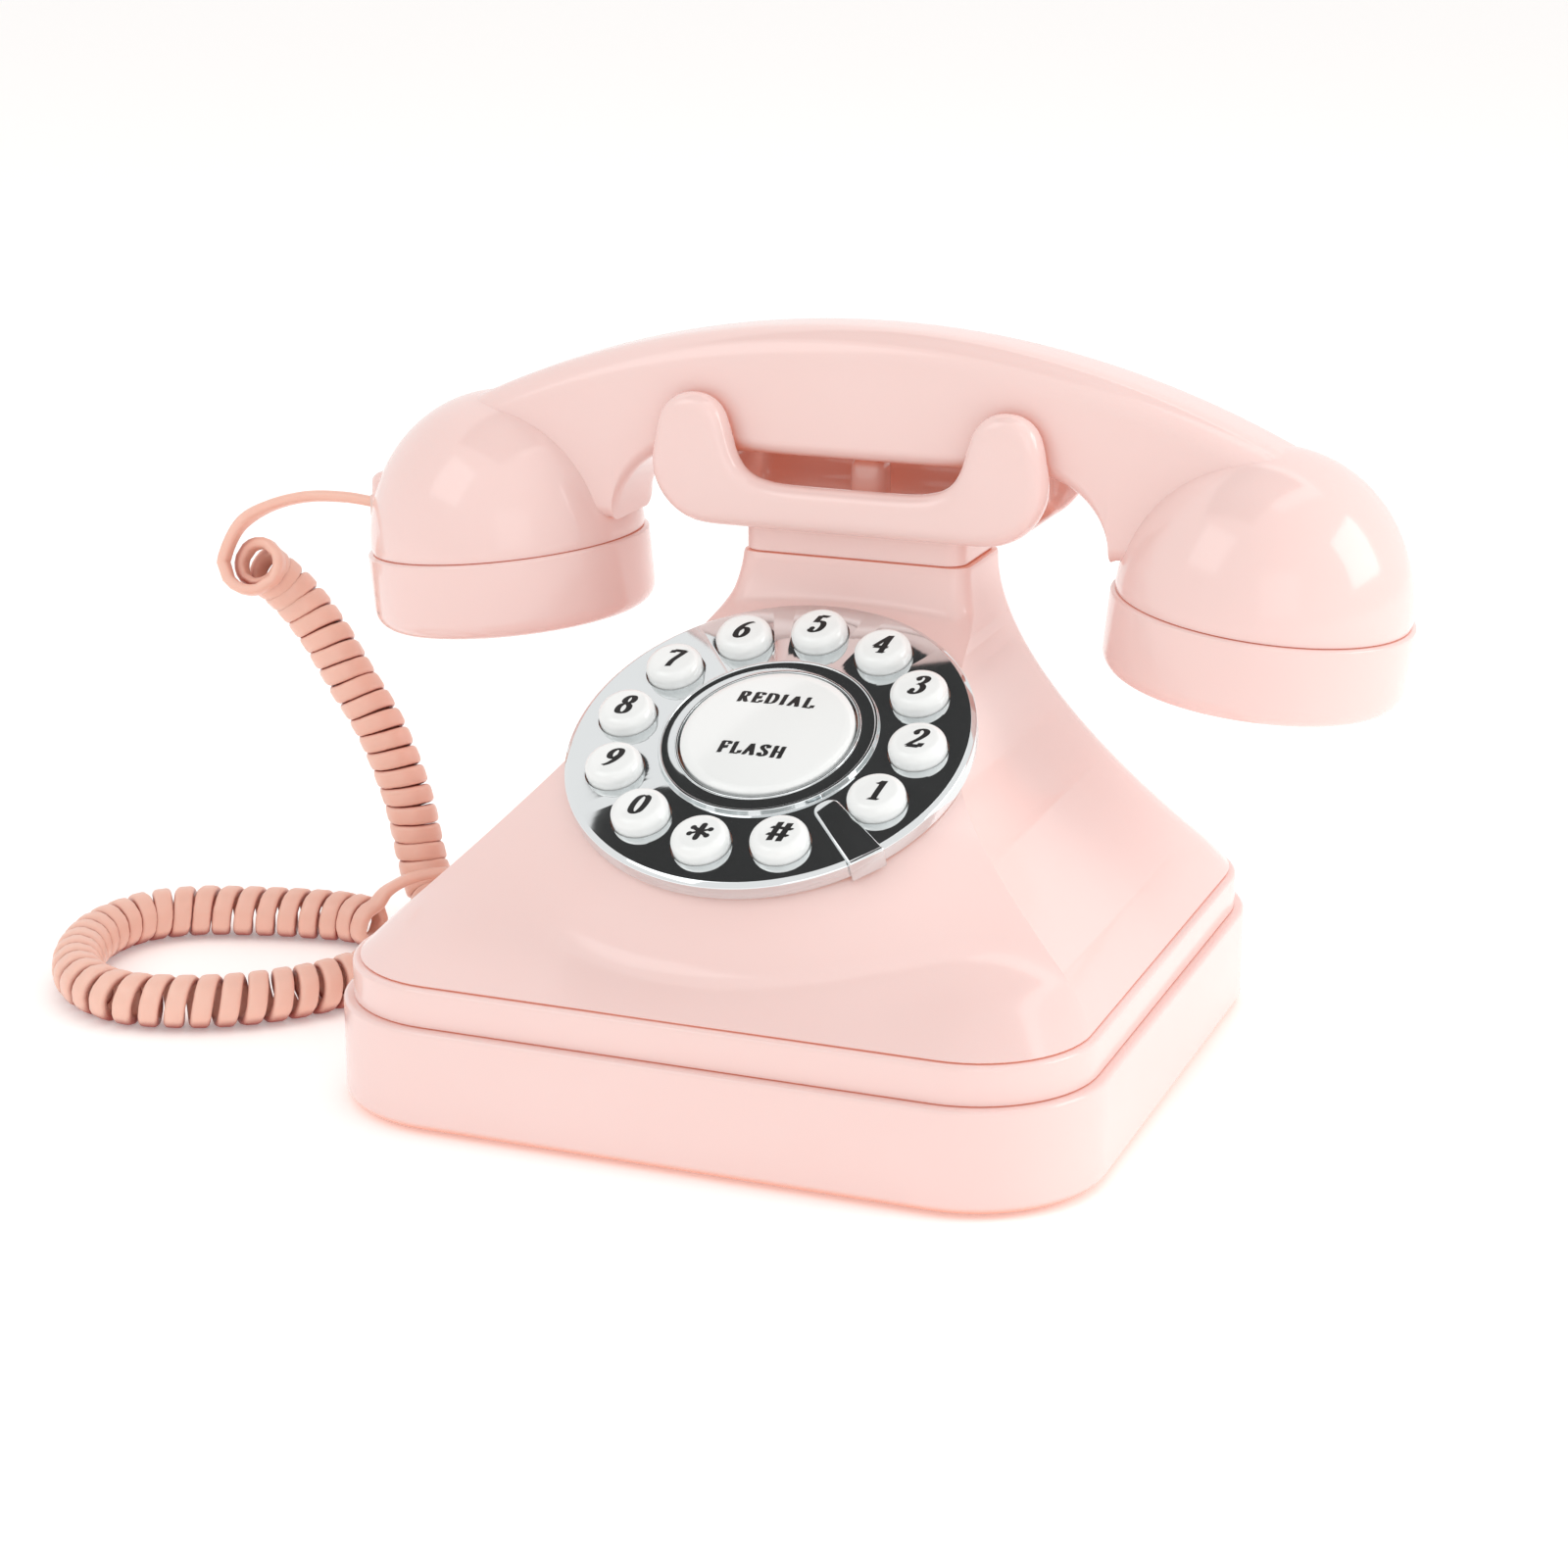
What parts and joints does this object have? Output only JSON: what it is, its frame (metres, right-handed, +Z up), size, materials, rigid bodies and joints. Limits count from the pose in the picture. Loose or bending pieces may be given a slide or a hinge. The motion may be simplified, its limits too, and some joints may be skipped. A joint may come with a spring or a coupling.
{
  "type": "desk telephone",
  "caption": "Compact retro desk telephone: flared body on a stepped base, four-horn cradle, bar handset, round push-key dial and curly cord.",
  "frame": {"origin": "centre of the telephone's footprint box, on the table", "axes": "+X to the right seen from the front, +Y to the back, +Z up"},
  "size_m": [0.277, 0.148, 0.141],
  "materials": {
    "body_plastic": "glossy injection-moulded ABS, pale pink",
    "inner_plastic": "moulded ABS, inside",
    "dial_chrome": "chrome-plated ABS, mirror",
    "key_white": "glossy white ABS",
    "silicone": "silicone rubber sheet",
    "circuit_board": "glass-epoxy board",
    "black_plastic": "moulded black plastic",
    "screw_steel": "zinc-plated steel",
    "spring_steel": "spring wire",
    "ballast_steel": "plain steel plate",
    "foot_rubber": "moulded rubber",
    "cord_pvc": "satin flexible PVC, salmon pink",
    "plug_clear": "clear polycarbonate"
  },
  "bodies": {
    "root": {"base_tray": "body_plastic", "body_shell": "body_plastic", "cradle": "body_plastic", "hook_bracket": "inner_plastic", "hook_spring": "spring_steel", "hook_switch": "black_plastic", "dial_plate": "dial_chrome", "finger_stop": "dial_chrome", "keypad_membrane": "silicone", "keypad_board": "circuit_board", "dial_screws": "screw_steel", "main_board": "circuit_board", "board_components": "black_plastic", "board_screws": "screw_steel", "ringer_speaker": "black_plastic", "line_jack": "black_plastic", "base_jack": "black_plastic", "ringer_switch": "black_plastic", "tone_switch": "black_plastic", "ballast_plate": "ballast_steel", "feet": "foot_rubber", "base_screws": "screw_steel", "cradle_screws": "screw_steel", "base_plug": "plug_clear", "hanging_coil": "cord_pvc", "floor_loop": "cord_pvc", "base_lead": "cord_pvc"},
    "handset": {"handset_shell": "body_plastic", "ear_cap": "body_plastic", "mouth_cap": "body_plastic", "receiver_capsule": "black_plastic", "microphone_capsule": "black_plastic", "handset_weight": "ballast_steel", "handset_jack": "black_plastic", "handset_plug": "plug_clear", "handset_lead": "cord_pvc"},
    "hook_plunger": {"hook_plunger": "body_plastic"},
    "centre_rocker": {"centre_rocker": "key_white"},
    "ringer_thumb": {"ringer_thumb": "key_white"},
    "tone_thumb": {"tone_thumb": "key_white"},
    "key_1": {"key_1": "key_white"},
    "key_2": {"key_2": "key_white"},
    "key_3": {"key_3": "key_white"},
    "key_4": {"key_4": "key_white"},
    "key_5": {"key_5": "key_white"},
    "key_6": {"key_6": "key_white"},
    "key_7": {"key_7": "key_white"},
    "key_8": {"key_8": "key_white"},
    "key_9": {"key_9": "key_white"},
    "key_0": {"key_0": "key_white"},
    "key_star": {"key_star": "key_white"},
    "key_hash": {"key_hash": "key_white"}
  },
  "joints": [
    {"name": "handset_lift", "type": "slide", "parent": "root", "child": "handset", "axis": [0, 0, 1], "range_m": [0, 0.08], "deforming": ["hanging_coil"]},
    {"name": "hook_rise", "type": "slide", "parent": "root", "child": "hook_plunger", "axis": [0, 0, 1], "range_m": [0, 0.004], "deforming": ["hook_spring"]},
    {"name": "key_1_press", "type": "slide", "parent": "root", "child": "key_1", "axis": [0, 0.4555, -0.8902], "range_m": [0, 0.0016], "stiffness_N_per_m": 400},
    {"name": "key_2_press", "type": "slide", "parent": "root", "child": "key_2", "axis": [0, 0.4555, -0.8902], "range_m": [0, 0.0016], "stiffness_N_per_m": 400},
    {"name": "key_3_press", "type": "slide", "parent": "root", "child": "key_3", "axis": [0, 0.4555, -0.8902], "range_m": [0, 0.0016], "stiffness_N_per_m": 400},
    {"name": "key_4_press", "type": "slide", "parent": "root", "child": "key_4", "axis": [0, 0.4555, -0.8902], "range_m": [0, 0.0016], "stiffness_N_per_m": 400},
    {"name": "key_5_press", "type": "slide", "parent": "root", "child": "key_5", "axis": [0, 0.4555, -0.8902], "range_m": [0, 0.0016], "stiffness_N_per_m": 400},
    {"name": "key_6_press", "type": "slide", "parent": "root", "child": "key_6", "axis": [0, 0.4555, -0.8902], "range_m": [0, 0.0016], "stiffness_N_per_m": 400},
    {"name": "key_7_press", "type": "slide", "parent": "root", "child": "key_7", "axis": [0, 0.4555, -0.8902], "range_m": [0, 0.0016], "stiffness_N_per_m": 400},
    {"name": "key_8_press", "type": "slide", "parent": "root", "child": "key_8", "axis": [0, 0.4555, -0.8902], "range_m": [0, 0.0016], "stiffness_N_per_m": 400},
    {"name": "key_9_press", "type": "slide", "parent": "root", "child": "key_9", "axis": [0, 0.4555, -0.8902], "range_m": [0, 0.0016], "stiffness_N_per_m": 400},
    {"name": "key_0_press", "type": "slide", "parent": "root", "child": "key_0", "axis": [0, 0.4555, -0.8902], "range_m": [0, 0.0016], "stiffness_N_per_m": 400},
    {"name": "key_star_press", "type": "slide", "parent": "root", "child": "key_star", "axis": [0, 0.4555, -0.8902], "range_m": [0, 0.0016], "stiffness_N_per_m": 400},
    {"name": "key_hash_press", "type": "slide", "parent": "root", "child": "key_hash", "axis": [0, 0.4555, -0.8902], "range_m": [0, 0.0016], "stiffness_N_per_m": 400},
    {"name": "rocker_tilt", "type": "hinge", "parent": "root", "child": "centre_rocker", "pos_m": [0, -0.02169, 0.06802], "axis": [1, 0, 0], "range_deg": [-3, 3], "stiffness_Nm_per_rad": 0.4},
    {"name": "ringer_slide", "type": "slide", "parent": "root", "child": "ringer_thumb", "axis": [1, 0, 0], "range_m": [0, 0.0034]},
    {"name": "tone_slide", "type": "slide", "parent": "root", "child": "tone_thumb", "axis": [1, 0, 0], "range_m": [0, 0.0034]}
  ],
  "couplings": [
    {"joint": "hook_rise", "follows": "handset_lift", "ratio": 0.05}
  ]
}
